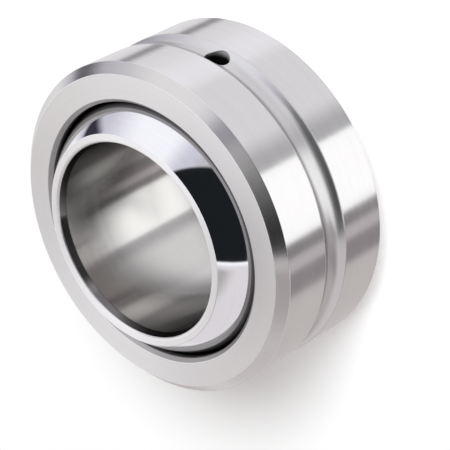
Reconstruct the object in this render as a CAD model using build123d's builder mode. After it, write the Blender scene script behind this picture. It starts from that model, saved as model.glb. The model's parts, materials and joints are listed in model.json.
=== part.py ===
from build123d import *
import os
from math import sqrt

# Spherical plain bearing with a wide outer ring.
# A ball-shaped inner ring, bored for a shaft, swivels in an outer ring that is pressed into a housing.
# Millimetres. +Z runs along the common axis of both rings, and the origin is the centre of the ball.

# Driving dimensions. The bearing is sized from the shaft outwards: bore, ball, raceway, housing seat.
bore_diameter = 25.4
inner_width = 25.4
outer_width = 19.84

# Flat left on the inner ring's end faces, from the bore to the ball; it sets the ball's size, 38.1 across
end_face_land = 1.499
# Running fit between the ball and the raceway, on the radius
raceway_clearance = 0.03
# Outer ring's wall over the middle of the ball; it sets the housing seat's size, 44.45 across
ring_wall = 3.145

# Inner ring: steep lead-in bevel at each end of the bore, and the broken edge between ball and end face
bore_bevel = 0.45
bore_bevel_depth = 1.1
rim_break = 0.15

# Outer ring: lead-in bevels on the housing seat, and broken edges
seat_bevel = 1.25
edge_break = 0.1
# Mouths round the ball: a straight relief, this deep from the end face, with a bevel at its lip
mouth_relief = 1.75
mouth_bevel = 0.5

# Lubrication groove round the housing seat, with sloping sides
groove_width = 3.8
groove_depth = 0.65
groove_side_run = 0.95

# Grease groove round the middle of the raceway, joined to the outer groove by the holes
race_groove_width = 2.4
race_groove_depth = 0.5
hole_diameter = 3.2

bore_radius = bore_diameter / 2
inner_half = inner_width / 2
rim_radius = bore_radius + end_face_land
ball_radius = sqrt(rim_radius**2 + inner_half**2)

raceway_radius = ball_radius + raceway_clearance
seat_radius = raceway_radius + ring_wall
outer_half = outer_width / 2

# The raceway ends at the foot of the relief, which rises straight from there to the 45 degree bevel
race_edge_height = outer_half - mouth_relief
race_edge_radius = sqrt(raceway_radius**2 - race_edge_height**2)
lip_radius = race_edge_radius + mouth_bevel

groove_half = groove_width / 2
groove_floor_half = groove_half - groove_side_run
groove_floor_radius = seat_radius - groove_depth

race_groove_half = race_groove_width / 2
race_groove_radius = raceway_radius + race_groove_depth
race_groove_edge = sqrt(raceway_radius**2 - race_groove_half**2)

os.makedirs("parts", exist_ok=True)


# Inner ring: a ball cut off by two flat end faces and bored through
with BuildPart() as inner_ring:
    with BuildSketch(Plane.XZ) as inner_section:
        with BuildLine():
            upper_bore = Polyline(
                (bore_radius, 0),
                (bore_radius, inner_half - bore_bevel_depth),
                (bore_radius + bore_bevel, inner_half),
                (rim_radius, inner_half),
            )
            RadiusArc(upper_bore @ 1, (ball_radius, 0), ball_radius)
            mirror(about=Plane.XZ)
        make_face()
        end_corners = inner_section.vertices().group_by(Axis.Y)
        rim_corners = [end_corners[0].sort_by(Axis.X)[-1], end_corners[-1].sort_by(Axis.X)[-1]]
        chamfer(rim_corners, rim_break)
    revolve(axis=Axis.Z)

inner_ring.part.label = "inner_ring"
export_step(inner_ring.part, "parts/inner_ring.step")


# Outer ring: one turned ring with the raceway inside and the housing seat outside
with BuildPart() as outer_ring:
    with BuildSketch(Plane.XZ) as outer_section:
        with BuildLine():
            upper_seat = Polyline(
                (groove_floor_radius, 0),
                (groove_floor_radius, groove_floor_half),
                (seat_radius, groove_half),
                (seat_radius, outer_half - seat_bevel),
                (seat_radius - seat_bevel, outer_half),
                (lip_radius, outer_half),
                (race_edge_radius, outer_half - mouth_bevel),
                (race_edge_radius, race_edge_height),
            )
            groove_edge = (race_groove_edge, race_groove_half)
            upper_raceway = RadiusArc(upper_seat @ 1, groove_edge, raceway_radius)
            Polyline(
                upper_raceway @ 1,
                (race_groove_radius, race_groove_half),
                (race_groove_radius, 0),
            )
            mirror(about=Plane.XZ)
        make_face()
        seat_corners = outer_section.vertices().group_by(Axis.X)[-1]
        face_corners = outer_section.vertices().group_by(Axis.Y)
        chamfer(seat_corners + face_corners[0] + face_corners[-1], edge_break)
    revolve(axis=Axis.Z)
    # One drill pass across the ring leaves two opposite holes, on the groove's middle
    Cylinder(hole_diameter / 2, 2 * seat_radius, rotation=(0, 90, 0), mode=Mode.SUBTRACT)

outer_ring.part.label = "outer_ring"
export_step(outer_ring.part, "parts/outer_ring.step")
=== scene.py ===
import json
import math
from collections import namedtuple

import bmesh
import bpy
from mathutils import Matrix, Vector


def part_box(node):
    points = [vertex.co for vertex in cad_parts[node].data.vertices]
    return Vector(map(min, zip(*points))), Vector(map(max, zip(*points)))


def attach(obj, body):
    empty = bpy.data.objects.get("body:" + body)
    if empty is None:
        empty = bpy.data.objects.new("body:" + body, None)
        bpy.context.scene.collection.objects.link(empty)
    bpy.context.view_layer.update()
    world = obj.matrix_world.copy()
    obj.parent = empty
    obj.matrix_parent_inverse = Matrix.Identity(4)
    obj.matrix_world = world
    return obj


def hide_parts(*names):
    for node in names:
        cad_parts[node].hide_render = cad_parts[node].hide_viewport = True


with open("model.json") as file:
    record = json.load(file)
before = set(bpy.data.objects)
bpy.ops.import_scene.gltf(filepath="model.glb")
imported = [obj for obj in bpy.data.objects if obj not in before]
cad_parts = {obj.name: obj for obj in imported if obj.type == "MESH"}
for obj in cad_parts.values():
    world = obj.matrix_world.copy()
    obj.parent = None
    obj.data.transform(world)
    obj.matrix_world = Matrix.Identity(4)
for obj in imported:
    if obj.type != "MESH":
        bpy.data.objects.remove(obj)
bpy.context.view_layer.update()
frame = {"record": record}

# A spherical plain bearing: a polished ball, bored for a shaft, in a ground outer ring that holds it.
# Metres, in the frame's own axes: +Z along the bearing's axis, the origin at the centre of the ball.

MM = 0.001

# Sizes that the frame gives. A radius is the smaller side of its box, so that the rings stay inside it.
outer_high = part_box("outer_ring")[1]
inner_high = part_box("inner_ring")[1]
mounts = {mount["name"]: mount for mount in frame["record"]["mounts"]}
seat_radius = min(outer_high.x, outer_high.y)
outer_half = outer_high.z
ball_radius = min(inner_high.x, inner_high.y)
inner_half = inner_high.z
bore_radius = mounts["shaft_bore"]["dims"]["r_mm"] * MM

# Inner ring: steep bevels at the ends of the bore, a round where they meet the end faces, and a small round
# where the ball meets an end face
bore_bevel = 0.45 * MM
bore_bevel_depth = 1.1 * MM
bore_round = 0.4 * MM
rim_round = 0.15 * MM

# Outer ring: lead-in bevels, the straight relief round the ball with its bevelled lip, and small rounds
seat_bevel = 1.25 * MM
mouth_relief = 1.75 * MM
mouth_bevel = 0.5 * MM
edge_round = 0.12 * MM
raceway_clearance = 0.03 * MM

# Lubrication groove round the seat, grease groove in the raceway, and the holes that join them
groove_half = 1.9 * MM
groove_side_run = 0.95 * MM
groove_depth = 0.65 * MM
groove_corner = 2.0 * MM
groove_lip = 0.5 * MM
race_groove_half = 1.2 * MM
race_groove_depth = 0.5 * MM
hole_radius = 1.6 * MM
hole_count = 2

# How finely the rings are turned
turn_steps = 512
ball_steps = 72
raceway_steps = 24
round_steps = 4
corner_steps = 8
hole_steps = 96
seam_gap = 0.0005 * MM


# Section of a ring, in the half plane of radius and height

class Side:
    """One stretch of a section, straight or an arc about a centre. The steel lies on its left."""

    def __init__(self, finish, start, end, centre=None, steps=1):
        self.finish = finish
        self.start = Vector(start)
        self.end = Vector(end)
        self.centre = None if centre is None else Vector(centre)
        self.steps = steps
        if self.centre:
            from_start = self.start - self.centre
            from_end = self.end - self.centre
            self.radius = from_start.length
            self.turn = math.atan2(from_start.cross(from_end), from_start.dot(from_end))

    def points(self):
        """The points from its start up to, but not at, its end."""
        if not self.centre:
            return [self.start]
        arm = self.start - self.centre
        turns = (self.turn * step / self.steps for step in range(self.steps))
        return [self.centre + Matrix.Rotation(turn, 2) @ arm for turn in turns]

    def normal(self, point):
        """The outward direction at a point of this side."""
        if self.centre:
            outward = point - self.centre
            return (outward if self.turn > 0 else -outward).normalized()
        along = self.end - self.start
        return Vector((along.y, -along.x)).normalized()

    def distance(self, point):
        """How far a point lies from this side."""
        if self.centre:
            arm = point - self.centre
            first = self.start - self.centre
            turned = math.atan2(first.cross(arm), first.dot(arm)) / self.turn
            if 0 <= turned <= 1:
                return abs(arm.length - self.radius)
            return min((point - self.start).length, (point - self.end).length)
        along = self.end - self.start
        share = max(0.0, min(1.0, (point - self.start).dot(along) / along.length_squared))
        return (self.start + along * share - point).length


def rounded(start, runs):
    """Straight sides, each given by its finish and its end, with a small round at each corner between them.

    A run may also give the finish and the size of the round at its end.
    """
    corners = [Vector(start)] + [Vector(run[1]) for run in runs]
    sides = []
    at = corners[0]
    for index, (finish, _, *round_at_end) in enumerate(runs[:-1], 1):
        round_finish, size = round_at_end or ("broken_edge", edge_round)
        corner = corners[index]
        ahead = (corners[index + 1] - corner).normalized()
        behind = (corner - corners[index - 1]).normalized()
        turn = math.atan2(behind.cross(ahead), behind.dot(ahead))
        trim = size * math.tan(abs(turn) / 2)
        inward = Vector((-behind.y, behind.x)) * math.copysign(size, turn)
        round_start = corner - behind * trim
        round_end = corner + ahead * trim
        sides.append(Side(finish, at, round_start))
        steps = round_steps if size == edge_round else corner_steps
        sides.append(Side(round_finish, round_start, round_end, round_start + inward, steps))
        at = round_end
    sides.append(Side(runs[-1][0], at, corners[-1]))
    return sides


def inner_section():
    """The ball, cut off by two flat end faces and bored through."""
    centre_height = inner_half - rim_round
    centre_radius = math.sqrt((ball_radius - rim_round) ** 2 - centre_height ** 2)
    reach = ball_radius / (ball_radius - rim_round)
    ball_top = Vector((centre_radius, centre_height)) * reach
    ball_bottom = Vector((ball_top.x, -ball_top.y))
    top_centre = (centre_radius, centre_height)
    bottom_centre = (centre_radius, -centre_height)
    bevel_radius = bore_radius + bore_bevel
    bore_end = inner_half - bore_bevel_depth
    inside = rounded(
        (centre_radius, inner_half),
        [
            ("bright_face", (bevel_radius, inner_half), "bright_face", bore_round),
            ("bore_bevel", (bore_radius, bore_end), "bore_bevel", edge_round),
            ("honed_bore", (bore_radius, -bore_end), "bore_bevel", edge_round),
            ("bore_bevel", (bevel_radius, -inner_half), "bright_face", bore_round),
            ("bright_face", (centre_radius, -inner_half)),
        ],
    )
    return [
        Side("polished_ball", ball_bottom, ball_top, (0, 0), ball_steps),
        Side("polished_ball", ball_top, inside[0].start, top_centre, round_steps),
        *inside,
        Side("polished_ball", inside[-1].end, ball_bottom, bottom_centre, round_steps),
    ]


def outer_section():
    """The outer ring: housing seat with its groove outside, raceway with its grease groove inside."""
    raceway_radius = ball_radius + raceway_clearance
    race_edge_height = outer_half - mouth_relief
    relief_radius = math.sqrt(raceway_radius ** 2 - race_edge_height ** 2)
    lip_radius = relief_radius + mouth_bevel
    lip_foot = outer_half - mouth_bevel
    floor_half = groove_half - groove_side_run
    floor_radius = seat_radius - groove_depth
    groove_edge_radius = math.sqrt(raceway_radius ** 2 - race_groove_half ** 2)
    race_groove_radius = raceway_radius + race_groove_depth
    outside = rounded(
        (relief_radius, -race_edge_height),
        [
            ("mouth_relief", (relief_radius, -lip_foot), "mouth_lip", edge_round),
            ("mouth_lip", (lip_radius, -outer_half)),
            ("turned_face", (seat_radius - seat_bevel, -outer_half)),
            ("turned_bevel", (seat_radius, seat_bevel - outer_half)),
            ("ground_seat", (seat_radius, -groove_half), "turned_groove", groove_lip),
            ("turned_groove", (floor_radius, -floor_half), "turned_groove", groove_corner),
            ("turned_groove", (floor_radius, floor_half), "turned_groove", groove_corner),
            ("turned_groove", (seat_radius, groove_half), "turned_groove", groove_lip),
            ("ground_seat", (seat_radius, outer_half - seat_bevel)),
            ("turned_bevel", (seat_radius - seat_bevel, outer_half)),
            ("turned_face", (lip_radius, outer_half)),
            ("mouth_lip", (relief_radius, lip_foot), "mouth_lip", edge_round),
            ("mouth_relief", (relief_radius, race_edge_height)),
        ],
    )
    race_groove = rounded(
        (groove_edge_radius, race_groove_half),
        [
            ("turned_groove", (race_groove_radius, race_groove_half)),
            ("turned_groove", (race_groove_radius, -race_groove_half)),
            ("turned_groove", (groove_edge_radius, -race_groove_half)),
        ],
    )
    return [
        *outside,
        Side("lapped_raceway", outside[-1].end, race_groove[0].start, (0, 0), raceway_steps),
        *race_groove,
        Side("lapped_raceway", race_groove[-1].end, outside[0].start, (0, 0), raceway_steps),
    ]


# Node trees

class Wire:
    """A socket of a node tree. Arithmetic on it adds Math nodes."""

    def __init__(self, sheet, socket):
        self.sheet = sheet
        self.socket = socket

    def calc(self, operation, *others):
        """A Math node on this value and others, such as calc("SINE") or calc("MAXIMUM", 0)."""
        return self.sheet.maths(operation, self, *others)

    def __add__(self, other):
        return self.sheet.maths("ADD", self, other)

    def __sub__(self, other):
        return self.sheet.maths("SUBTRACT", self, other)

    def __rsub__(self, other):
        return self.sheet.maths("SUBTRACT", other, self)

    def __mul__(self, other):
        return self.sheet.maths("MULTIPLY", self, other)

    def __truediv__(self, other):
        return self.sheet.maths("DIVIDE", self, other)

    def __rtruediv__(self, other):
        return self.sheet.maths("DIVIDE", other, self)

    __radd__ = __add__
    __rmul__ = __mul__


class Sheet:
    """A node tree, with one method for every kind of node that takes something in."""

    def __init__(self, tree):
        self.tree = tree

    def fill(self, socket, value):
        """Wires a socket to what feeds it, or sets its number, colour or direction."""
        if isinstance(value, Wire):
            self.tree.links.new(value.socket, socket)
        elif socket.type == "RGBA":
            socket.default_value = (*value, 1.0)
        else:
            socket.default_value = value

    def node(self, kind, settings=None, *inputs, **named):
        """Adds a node: its settings first, then its sockets by order or by name. Returns its outputs."""
        made = self.tree.nodes.new(kind)
        for name, value in (settings or {}).items():
            setattr(made, name, value)
        for index, value in enumerate(inputs):
            self.fill(made.inputs[index], value)
        for name, value in named.items():
            self.fill(made.inputs[name.replace("_", " ")], value)
        return [Wire(self, socket) for socket in made.outputs if socket.enabled]

    def source(self, kind):
        """Adds a node that only gives values. Returns its outputs by name."""
        made = self.tree.nodes.new(kind)
        return {socket.name: Wire(self, socket) for socket in made.outputs}

    def maths(self, operation, *values):
        """A Math node."""
        return self.node("ShaderNodeMath", {"operation": operation}, *values)[0]

    def mix(self, share, first, second):
        """A colour between two colours."""
        made = self.tree.nodes.new("ShaderNodeMix")
        made.data_type = "RGBA"
        made.clamp_factor = True
        # The node keeps sockets for every type of value; a colour mix uses these
        self.fill(made.inputs[0], share)
        self.fill(made.inputs[6], first)
        self.fill(made.inputs[7], second)
        return Wire(self, made.outputs[2])

    def ramp(self, value, low, high, from_low=0.0, from_high=1.0, smooth=False):
        """A value carried from one span to another, held at its ends."""
        settings = {"interpolation_type": "SMOOTHSTEP" if smooth else "LINEAR", "clamp": True}
        return self.node("ShaderNodeMapRange", settings, value, from_low, from_high, low, high)[0]

    def step(self, value, place, soft):
        """0 below a place and 1 above it, over a soft stretch centred on it."""
        return self.ramp(value, 0.0, 1.0, place - soft / 2, place + soft / 2, True)

    def window(self, value, low, high, low_soft, high_soft):
        """1 between low and high, fading to 0 over a soft stretch centred on each."""
        fall = self.ramp(value, 1.0, 0.0, high - high_soft / 2, high + high_soft / 2, True)
        return self.step(value, low, low_soft) * fall


def shading(owner):
    """The emptied node tree of a material or a world."""
    owner.use_nodes = True
    owner.node_tree.nodes.clear()
    return Sheet(owner.node_tree)


# Finishes. Each is steel as a machine left it, read from radius, height and angle about the bearing's axis.
# The mouth's relief and the drilled holes also carry painted shade in their recesses

# Noise drawn out round the axis makes the marks. Fine ones are almost unbroken round the ring, and broad
# ones, which lie broad_spacing times as far apart, are the wheel's or tool's slow drift.
mark_stretch = 0.6
fine_noise = {"Scale": 1.0, "Detail": 3.0, "Roughness": 0.65}
broad_noise = {"Scale": 1.0, "Detail": 2.0}
broad_spacing = 9
fine_share = 0.6
broad_share = 0.4
noise_middle = 0.5
# Handling leaves faint cloudy patches in the shine and in the shade
cloud_noise = {"Scale": 160.0, "Detail": 3.0, "Roughness": 0.55}
cloud_in_shine = 0.8
cloud_in_shade = 0.5
# The steel's colour goes from this share of itself to that one, over these strengths of the marks
shade_span = (0.93, 1.05)
shade_marks = (-0.35, 0.35)
least_roughness = 0.02
# Height less radius, times this, is the length along the housing seat's upper bevel
slant_share = 0.707
# A quarter turn, so that reflections draw out across the marks
grain_turn = 0.25


def steel(name, colour, roughness, marks, streak=0.10, grain=0.6, painted_shade=None):
    """Steel with tool marks running round the axis.

    marks says what the marks are counted along, "height" on a cylinder, "radius" on a flat face or "slant"
    on a bevel, how far apart they lie and how deep they are, both in millimetres. streak is how much they
    change the roughness, and grain how much they draw out a reflection. painted_shade is painted shade: it
    darkens the colour in a recess, where shade falls. It gives "radius" or "height" from the middle, where
    the colour is darkest, where it is unshaded, and the share of its colour that is left at the darkest.
    """
    along, mark_spacing, mark_depth = marks
    material = bpy.data.materials.new(name)
    sheet = shading(material)
    place = sheet.source("ShaderNodeTexCoord")["Object"]
    x, y, height = sheet.node("ShaderNodeSeparateXYZ", None, place)
    radius = (x * x + y * y).calc("SQRT")
    track = {"height": height, "radius": radius, "slant": (height - radius) * slant_share}[along]

    round_x = x / radius * mark_stretch
    round_y = y / radius * mark_stretch
    spacing = mark_spacing * MM
    fine_place = sheet.node("ShaderNodeCombineXYZ", None, round_x, round_y, track / spacing)[0]
    broad_track = track / (spacing * broad_spacing)
    broad_place = sheet.node("ShaderNodeCombineXYZ", None, round_x, round_y, broad_track)[0]
    fine = sheet.node("ShaderNodeTexNoise", None, Vector=fine_place, **fine_noise)[0]
    broad = sheet.node("ShaderNodeTexNoise", None, Vector=broad_place, **broad_noise)[0]
    cloud = sheet.node("ShaderNodeTexNoise", None, Vector=place, **cloud_noise)[0] - noise_middle

    strength = fine * fine_share + broad * broad_share - noise_middle
    shine = strength * streak + cloud * streak * cloud_in_shine + roughness
    shade = sheet.ramp(strength + cloud * cloud_in_shade, *shade_span, *shade_marks)
    # Painted shade: the colour darkens towards the bottom of a recess, where shade falls
    if painted_shade:
        by, darkest, unshaded, left = painted_shade
        depth = radius if by == "radius" else height.calc("ABSOLUTE")
        shade = shade * sheet.ramp(depth, left, 1.0, darkest, unshaded, True)
    tint = sheet.node("ShaderNodeVectorMath", {"operation": "SCALE"}, colour, Scale=shade)[0]
    bump = sheet.node("ShaderNodeBump", None, Strength=1.0, Distance=mark_depth * MM, Height=fine)[0]
    surface = sheet.node(
        "ShaderNodeBsdfPrincipled", None,
        Base_Color=tint, Metallic=1.0, Roughness=shine.calc("MAXIMUM", least_roughness), Normal=bump,
        Anisotropic=grain, Anisotropic_Rotation=grain_turn,
    )[0]
    sheet.node("ShaderNodeOutputMaterial", None, surface)
    return material


# Painted shade darkens the foot of the mouth's relief, and the grease holes below the groove's floor
relief_painted_shade = ("height", outer_half - mouth_relief + 0.2 * MM, outer_half - mouth_bevel + 0.2 * MM, 0.02)
hole_painted_shade = ("radius", seat_radius - 1.3 * MM, seat_radius - 0.5 * MM, 0.03)

finishes = {
    "ground_seat": dict(colour=(0.80, 0.79, 0.79), roughness=0.15, marks=("height", 0.10, 0.0004)),
    "turned_face": dict(
        colour=(0.82, 0.80, 0.785), roughness=0.34, marks=("radius", 0.16, 0.0015), grain=0.92
    ),
    "turned_bevel": dict(colour=(0.71, 0.69, 0.675), roughness=0.21, marks=("slant", 0.14, 0.0015)),
    "turned_groove": dict(colour=(0.73, 0.72, 0.72), roughness=0.30, marks=("height", 0.14, 0.0015)),
    "mouth_lip": dict(colour=(0.57, 0.55, 0.54), roughness=0.36, marks=("slant", 0.14, 0.0010)),
    # The relief's colour carries painted shade, darkest at its foot
    "mouth_relief": dict(
        colour=(0.62, 0.61, 0.60), roughness=0.45, marks=("height", 0.10, 0.0005), painted_shade=relief_painted_shade
    ),
    "broken_edge": dict(colour=(0.84, 0.83, 0.83), roughness=0.22, marks=("slant", 0.10, 0.0004)),
    "lapped_raceway": dict(colour=(0.60, 0.59, 0.58), roughness=0.25, marks=("height", 0.10, 0.0005)),
    # The hole's colour carries painted shade, darker deeper into the hole
    "drilled_hole": dict(
        colour=(0.80, 0.79, 0.79), roughness=0.70, marks=("radius", 0.20, 0.003), painted_shade=hole_painted_shade
    ),
    "polished_ball": dict(
        colour=(0.90, 0.90, 0.92), roughness=0.05, marks=("height", 0.20, 0.00003), streak=0.02, grain=0.0
    ),
    "bright_face": dict(
        colour=(0.93, 0.92, 0.905), roughness=0.32, marks=("radius", 0.10, 0.0004), grain=0.92
    ),
    # Far darker than steel: painted shade for the dark line along the bore's bevels
    "bore_bevel": dict(colour=(0.24, 0.23, 0.225), roughness=0.17, marks=("height", 0.10, 0.0005)),
    "honed_bore": dict(colour=(0.96, 0.94, 0.92), roughness=0.18, marks=("height", 0.12, 0.0006)),
}


def placed(name, data):
    """A new object in the scene, at the origin."""
    made = bpy.data.objects.new(name, data)
    bpy.context.scene.collection.objects.link(made)
    return made


# Turning: a Geometry Nodes tree sweeps a section round the axis and drills the holes

def lathe_tree():
    """The tree that turns a closed section into a ring, with the grease holes drilled through it."""
    tree = bpy.data.node_groups.new("turn_and_drill", "GeometryNodeTree")
    wanted = {
        "Section": "NodeSocketGeometry",
        "Turn Steps": "NodeSocketInt",
        "Path Radius": "NodeSocketFloat",
        "Hole Count": "NodeSocketInt",
        "Hole Radius": "NodeSocketFloat",
        "Hole Depth": "NodeSocketFloat",
        "Hole Steps": "NodeSocketInt",
        "Finish": "NodeSocketMaterial",
    }
    for name, kind in wanted.items():
        tree.interface.new_socket(name, in_out="INPUT", socket_type=kind)
    tree.interface.new_socket("Ring", in_out="OUTPUT", socket_type="NodeSocketGeometry")
    sheet = Sheet(tree)
    given = sheet.source("NodeGroupInput")

    # The section is drawn with radius along X; the path's own radius is taken off it before the sweep
    path = sheet.node(
        "GeometryNodeCurvePrimitiveCircle", {"mode": "RADIUS"},
        Resolution=given["Turn Steps"], Radius=given["Path Radius"],
    )[0]
    shift = sheet.node("ShaderNodeCombineXYZ", None, given["Path Radius"] * -1.0)[0]
    moved = sheet.node("GeometryNodeTransform", None, Geometry=given["Section"], Translation=shift)[0]
    outline = sheet.node("GeometryNodeMeshToCurve", None, Mesh=moved)[0]
    swept = sheet.node("GeometryNodeCurveToMesh", None, Curve=path, Profile_Curve=outline)[0]

    # One drill for each hole, lying along the hole, spaced evenly round the axis from +X
    drill = sheet.node(
        "GeometryNodeMeshCylinder", {"fill_type": "NGON"},
        Vertices=given["Hole Steps"], Radius=given["Hole Radius"], Depth=given["Hole Depth"],
    )[0]
    out = sheet.node("ShaderNodeCombineXYZ", None, given["Hole Depth"] * 0.5)[0]
    level = (0.0, math.pi / 2, 0.0)
    laid = sheet.node("GeometryNodeTransform", None, Geometry=drill, Translation=out, Rotation=level)[0]
    spots = sheet.node("GeometryNodeMeshLine", None, Count=given["Hole Count"], Offset=(0.0, 0.0, 0.0))[0]
    angle = sheet.source("GeometryNodeInputIndex")["Index"] * (2 * math.pi / given["Hole Count"])
    turn = sheet.node("ShaderNodeCombineXYZ", None, Z=angle)[0]
    drills = sheet.node("GeometryNodeInstanceOnPoints", None, Points=spots, Instance=laid, Rotation=turn)[0]
    solid_drills = sheet.node("GeometryNodeRealizeInstances", None, Geometry=drills)[0]

    cut = {"operation": "DIFFERENCE", "solver": "EXACT"}
    drilled = sheet.node("GeometryNodeMeshBoolean", cut, swept, solid_drills)[0]
    whole = sheet.node("GeometryNodeRealizeInstances", None, Geometry=drilled)[0]
    ring = sheet.node("GeometryNodeSetMaterial", None, Geometry=whole, Material=given["Finish"])[0]
    sheet.node("NodeGroupOutput", None, ring)
    return tree


def turned_ring(name, sides, tree, materials, holes):
    """A ring turned from its section, with each side's own finish and its true surface direction."""
    points = [point for side in sides for point in side.points()]
    edges = [(index, (index + 1) % len(points)) for index in range(len(points))]
    outline = bpy.data.meshes.new(name + "_section")
    outline.from_pydata([(point.x, point.y, 0.0) for point in points], edges, [])
    blank = placed(name + "_section", outline)

    modifier = blank.modifiers.new("turning", "NODES")
    modifier.node_group = tree
    settings = {
        "Turn Steps": turn_steps,
        "Path Radius": ball_radius,
        "Hole Count": holes,
        "Hole Radius": hole_radius,
        "Hole Depth": 2 * seat_radius,
        "Hole Steps": hole_steps,
        "Finish": materials[sides[0].finish],
    }
    for item in tree.interface.items_tree:
        if item.name in settings:
            modifier[item.identifier] = settings[item.name]
    blank.update_tag()
    graph = bpy.context.evaluated_depsgraph_get()
    mesh = bpy.data.meshes.new_from_object(blank.evaluated_get(graph))
    mesh.name = name
    bpy.data.objects.remove(blank)

    close_seams(mesh)
    dress(mesh, sides, materials, holes)
    return placed(name, mesh)


def close_seams(mesh):
    """Merges doubled points and turns every face outwards."""
    work = bmesh.new()
    work.from_mesh(mesh)
    bmesh.ops.remove_doubles(work, verts=work.verts, dist=seam_gap)
    bmesh.ops.recalc_face_normals(work, faces=work.faces)
    work.to_mesh(mesh)
    work.free()


# A face that is inside a hole's radius and this far from the section is the hole's wall
hole_wall_depth = 0.2 * MM
# Faces whose middles have the same radius and height to this size lie on the same side
same_spot = 0.001 * MM


def dress(mesh, sides, materials, holes):
    """Gives each face the finish of the side that it lies on, and each corner that side's own direction."""
    names = sorted({side.finish for side in sides} | ({"drilled_hole"} if holes else set()))
    mesh.materials.clear()
    for finish in names:
        mesh.materials.append(materials[finish])
    corner_normals = [None] * len(mesh.loops)
    side_at = {}
    for face in mesh.polygons:
        centre = face.center
        spot = Vector((math.hypot(centre.x, centre.y), centre.z))
        near = (round(spot.x / same_spot), round(spot.y / same_spot))
        if near not in side_at:
            side_at[near] = min(sides, key=lambda side: side.distance(spot))
        side = side_at[near]
        from_hole_axis = math.hypot(centre.y, centre.z)
        in_hole = holes and from_hole_axis < hole_radius and side.distance(spot) > hole_wall_depth
        face.material_index = names.index("drilled_hole" if in_hole else side.finish)
        face.use_smooth = True
        for loop in face.loop_indices:
            vertex = mesh.vertices[mesh.loops[loop].vertex_index].co
            radius = math.hypot(vertex.x, vertex.y)
            if in_hole:
                corner_normals[loop] = Vector((0.0, -vertex.y, -vertex.z)).normalized()
                continue
            outward = side.normal(Vector((radius, vertex.z)))
            corner_normals[loop] = Vector(
                (outward.x * vertex.x / radius, outward.x * vertex.y / radius, outward.y)
            )
    mesh.normals_split_custom_set(corner_normals)


def bearing():
    """Both rings, each riding on its body and standing for its node."""
    materials = {name: steel(name, **finish) for name, finish in finishes.items()}
    tree = lathe_tree()
    outer = turned_ring("outer_ring_steel", outer_section(), tree, materials, hole_count)
    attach(outer, "outer")
    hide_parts("outer_ring")
    inner = turned_ring("inner_ring_steel", inner_section(), tree, materials, 0)
    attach(inner, "inner")
    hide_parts("inner_ring")


# Camera, at the photograph's place: it looks down on the bearing's end, and is rolled with the photograph.
# Angles are degrees: a side is counted about +Z from +X, a height from the table.
camera_side = -42.0
camera_height = 40.66
camera_roll = -119.08
camera_distance = 268.2 * MM
camera_aim = Vector((-1.84, -3.45, -1.09)) * MM
camera_lens = 167.7
camera_film = 36.0
camera_near = 10.0 * MM


def direction(side, height):
    """The direction towards a side and a height."""
    side = math.radians(side)
    height = math.radians(height)
    level = math.cos(height)
    return Vector((math.cos(side) * level, math.sin(side) * level, math.sin(height)))


def camera():
    """A long lens on the photograph's line of sight."""
    data = bpy.data.cameras.new("camera")
    data.lens = camera_lens
    data.sensor_width = camera_film
    data.clip_start = camera_near
    made = placed("camera", data)
    back = direction(camera_side, camera_height)
    level = (-back).to_track_quat("-Z", "Y").to_matrix().to_4x4()
    rolled = level @ Matrix.Rotation(math.radians(camera_roll), 4, "Z")
    made.matrix_world = Matrix.Translation(camera_aim + back * camera_distance) @ rolled
    bpy.context.scene.camera = made


# Studio. Turn is counted about +Z from the camera's own side.
white = (1.0, 1.0, 1.0)
black = (0.0, 0.0, 0.0)
table_white = (0.83, 0.82, 0.84)
room_white = (1.02, 1.02, 1.06)
horizon = (-20.0, -6.0)
kept_share = 0.62
diffuse_level = 0.06

# A card: its name, its turn from and to with the softness of both edges, its height from and to with its
# softness, and its colour. Each cut keeps the part where its first number times turn plus its second times
# height is over its third, and its fourth is its softness.
Card = namedtuple("Card", ["name", "turn", "height", "colour", "cuts"], defaults=[()])

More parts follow.
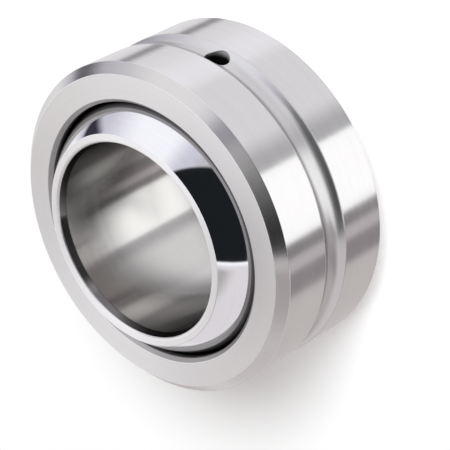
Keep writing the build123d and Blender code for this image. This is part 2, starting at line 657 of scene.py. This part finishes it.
on_table = (-95.0, -14.0, 12.0)
beside_window = (12.0, 70.0, 12.0)
cards = [
    Card("warm_table", (-176.0, -88.0, 10.0, 6.0), on_table, (0.60, 0.565, 0.56)),
    Card("dark_stand", (-90.0, -71.0, 5.0, 5.0), on_table, (0.29, 0.265, 0.275)),
    Card("pale_gap", (-71.0, -63.0, 4.0, 4.0), on_table, (0.58, 0.54, 0.55)),
    Card("dark_edge", (-63.0, -52.0, 4.0, 3.0), on_table, (0.24, 0.225, 0.23)),
    Card("white_card", (-52.0, -2.0, 3.0, 3.0), on_table, (1.25, 1.25, 1.25)),
    Card("grey_fall", (-2.0, 14.0, 3.0, 18.0), on_table, (0.50, 0.495, 0.51)),
    Card("bright_sweep", (72.0, 100.0, 10.0, 30.0), on_table, (0.97, 0.96, 1.0)),
    Card("dark_post", (125.0, 135.0, 5.0, 5.0), (-75.0, -16.0, 6.0), (0.26, 0.25, 0.27)),
    Card("low_wall", (-150.0, -62.0, 30.0, 4.0), (-14.0, 60.0, 14.0), (0.76, 0.73, 0.75)),
    Card("dim_wall", (-160.0, -66.0, 30.0, 6.0), (24.0, 52.0, 12.0), (0.46, 0.44, 0.44)),
    Card("room_corner", (102.0, 142.0, 38.0, 12.0), (-20.0, 44.0, 16.0), (0.62, 0.61, 0.69)),
    Card("card_shoulder", (26.0, 48.0, 4.0, 22.0), (4.0, 60.0, 10.0), (0.66, 0.65, 0.74)),
    Card(
        "post_head", (116.0, 136.0, 3.0, 6.0), (-14.0, 8.0, 3.0), (0.04, 0.037, 0.055),
        [(1.0, 0.54, 122.5, 7.0), (-0.83, 1.0, -120.5, 9.0)],
    ),
    Card(
        "left_of_window", (125.0, 200.0, 20.0, 8.0), beside_window, (0.95, 0.94, 0.95),
        [(-1.0, -0.65, -189.5, 8.0)],
    ),
    Card(
        "right_of_window", (-200.0, -120.0, 8.0, 30.0), beside_window, (0.58, 0.56, 0.57),
        [(1.0, 0.65, -152.0, 8.0)],
    ),
    Card("black_foot", (-59.0, 14.0, 2.0, 16.0), (-5.0, 11.0, 4.0), (0.02, 0.02, 0.022)),
    Card("grey_sill", (-59.0, 30.0, 2.0, 16.0), (11.0, 26.0, 4.0), (0.52, 0.51, 0.52)),
    Card(
        "black_card", (-59.0, 75.0, 2.0, 4.0), (5.0, 66.0, 4.0), (0.012, 0.014, 0.016),
        [(-1.0, 1.0, -2.5, 4.0), (-0.2, -1.0, -51.0, 5.0), (-0.06, 1.0, 15.9, 4.0)],
    ),
]


def studio():
    """The room that the steel mirrors: pale walls and table, white and dark cards, dark round the camera."""
    world = bpy.data.worlds.new("studio")
    bpy.context.scene.world = world
    sheet = shading(world)
    towards = sheet.source("ShaderNodeTexCoord")["Generated"]
    x, y, z = sheet.node("ShaderNodeSeparateXYZ", None, towards)
    side = math.radians(camera_side)
    ahead = x * math.cos(side) + y * math.sin(side)
    across = y * math.cos(side) - x * math.sin(side)
    turn = across.calc("ARCTAN2", ahead) * math.degrees(1)
    height = z.calc("ARCSINE") * math.degrees(1)

    colour = sheet.mix(sheet.ramp(height, 0.0, 1.0, *horizon, True), table_white, room_white)
    for card in cards:
        bottom, top, soft = card.height
        shown = sheet.window(turn, *card.turn) * sheet.window(height, bottom, top, soft, soft)
        for turn_share, height_share, level, cut_soft in card.cuts:
            shown = shown * sheet.step(turn * turn_share + height * height_share, level, cut_soft)
        colour = sheet.mix(shown, colour, card.colour)
        colour.socket.node.label = card.name

    # Every mirroring after the first loses a share of the light, for shade that the cards leave out
    path = sheet.source("ShaderNodeLightPath")
    again = (path["Glossy Depth"] - 1.0).calc("MAXIMUM", 0.0)
    lost = 1.0 - (again * math.log(kept_share)).calc("EXPONENT")
    room = sheet.node("ShaderNodeBackground", None, colour, 1.0)[0]
    unlit = sheet.node("ShaderNodeBackground", None, black, 1.0)[0]
    mirrored = sheet.node("ShaderNodeMixShader", None, lost, room, unlit)[0]
    # Plain light on what isn't mirrored, and a white background
    soft_light = sheet.node("ShaderNodeBackground", None, white, diffuse_level)[0]
    mirroring = path["Is Glossy Ray"].calc("MAXIMUM", path["Is Transmission Ray"])
    lit = sheet.node("ShaderNodeMixShader", None, mirroring, soft_light, mirrored)[0]
    plain = sheet.node("ShaderNodeBackground", None, white, 1.0)[0]
    seen = sheet.node("ShaderNodeMixShader", None, path["Is Camera Ray"], lit, plain)[0]
    sheet.node("ShaderNodeOutputWorld", None, seen)


# Softbox, over the bearing and a little towards the photograph's top, so that the shadow falls below it
softbox_side = -20.0
softbox_height = 42.0
softbox_spread = 24.0
softbox_strength = 2.6


def softbox():
    """One broad soft lamp."""
    data = bpy.data.lights.new("softbox", "SUN")
    data.energy = softbox_strength
    data.angle = math.radians(softbox_spread)
    made = placed("softbox", data)
    made.visible_glossy = False
    made.rotation_euler = direction(softbox_side, softbox_height).to_track_quat("Z", "Y").to_euler()


floor_size = 4.0
floor_grey = (0.8, 0.8, 0.8)
shadow_tint = (0.44, 0.415, 0.405)


def floor():
    """A white table that keeps the bearing's shadow."""
    half = floor_size / 2
    level = -inner_half
    corners = [(-half, -half, level), (half, -half, level), (half, half, level), (-half, half, level)]
    mesh = bpy.data.meshes.new("floor")
    mesh.from_pydata(corners, [], [(0, 1, 2, 3)])
    made = placed("floor", mesh)
    made.visible_glossy = False

    material = bpy.data.materials.new("white_table")
    sheet = shading(material)
    # In full shadow only the tint is left; the softbox and the room bring it up to white
    light = softbox_strength * math.sin(math.radians(softbox_height)) / math.pi + diffuse_level
    lit_share = [(1.0 - value) / light for value in shadow_tint]
    catch = sheet.node("ShaderNodeBsdfDiffuse", None, lit_share)[0]
    glow = sheet.node("ShaderNodeEmission", None, shadow_tint, 1.0)[0]
    seen = sheet.node("ShaderNodeAddShader", None, catch, glow)[0]
    other = sheet.node("ShaderNodeBsdfDiffuse", None, floor_grey)[0]
    by_camera = sheet.source("ShaderNodeLightPath")["Is Camera Ray"]
    shown = sheet.node("ShaderNodeMixShader", None, by_camera, other, seen)[0]
    sheet.node("ShaderNodeOutputMaterial", None, shown)
    mesh.materials.append(material)


# Seen from inside the bore, the table near its foot lies in the bearing's own shade. A share of the light
# that is left changes between two radii. A stretch round the bore is in degrees about +Z from +X, followed by
# the softness of both its ends. The numbers were set by how the bore looks, and no real shade was measured.
disc_steps = 96
shade_radii = (6.0 * MM, 12.0 * MM)
shade_left = (1.0, 0.35)
# Along this stretch the table is open to the white card
open_stretch = (-130.0, -20.0, 20.0, 60.0)
open_radii = (3.0 * MM, 9.0 * MM)
open_left = (0.83, 1.0)
closed_left = 0.80
# Two darker stretches: the gap between the cards, and the far side, counted from +X both ways
gap_stretch = (-143.0, -116.0, 10.0, 10.0)
gap_lost = 0.5
far_stretch = (158.0, 200.0, 8.0, 8.0)
far_lost = 0.2
# Light that was mirrored twice in the bore comes from lower down, where the ring hides more of the cards.
# Glossy Depth is 1 on its way out of the first mirroring.
second_depth = 1.5
second_lost = 0.05
second_stretches = [
    ((-120.0, -80.5, 16.0, 3.0), 0.95),
    ((-42.0, -5.0, 12.0, 30.0), 0.40),
]
third_depth = 2.5
third_lost = 0.4


def bore_shade():
    """A disc on the table inside the bore, which only mirrored rays meet, and which dims them.

    It is no piece of the bearing.
    """
    reach = bore_radius + bore_bevel
    corners = []
    for step in range(disc_steps):
        angle = 2 * math.pi * step / disc_steps
        corners.append((math.cos(angle) * reach, math.sin(angle) * reach, -inner_half))
    mesh = bpy.data.meshes.new("bore_shade")
    mesh.from_pydata(corners, [], [list(range(disc_steps))])
    made = placed("bore_shade", mesh)
    made.visible_camera = False
    made.visible_diffuse = False
    made.visible_transmission = False
    made.visible_shadow = False

    material = bpy.data.materials.new("bore_shade")
    sheet = shading(material)
    x, y, _ = sheet.node("ShaderNodeSeparateXYZ", None, sheet.source("ShaderNodeTexCoord")["Object"])
    radius = (x * x + y * y).calc("SQRT")
    place = y.calc("ARCTAN2", x) * math.degrees(1)
    edge = sheet.ramp(radius, *shade_left, *shade_radii, True)
    open_share = sheet.ramp(radius, *open_left, *open_radii, True)
    side = sheet.window(place, *open_stretch) * (open_share - closed_left) + closed_left
    gap = 1.0 - sheet.window(place, *gap_stretch) * gap_lost
    far = 1.0 - sheet.window(place.calc("ABSOLUTE"), *far_stretch) * far_lost
    depth = sheet.source("ShaderNodeLightPath")["Glossy Depth"]
    lost = second_lost
    for stretch, share in second_stretches:
        lost = sheet.window(place, *stretch) * share + lost
    second = 1.0 - depth.calc("GREATER_THAN", second_depth) * lost
    third = 1.0 - depth.calc("GREATER_THAN", third_depth) * third_lost
    blocked = sheet.node("ShaderNodeBsdfTransparent", None, black)[0]
    clear = sheet.node("ShaderNodeBsdfTransparent", None, white)[0]
    left = edge * side * gap * far * second * third
    through = sheet.node("ShaderNodeMixShader", None, left, blocked, clear)[0]
    sheet.node("ShaderNodeOutputMaterial", None, through)
    mesh.materials.append(material)


bearing()
camera()
studio()
softbox()
floor()
bore_shade()
bpy.context.scene.view_settings.view_transform = "Standard"
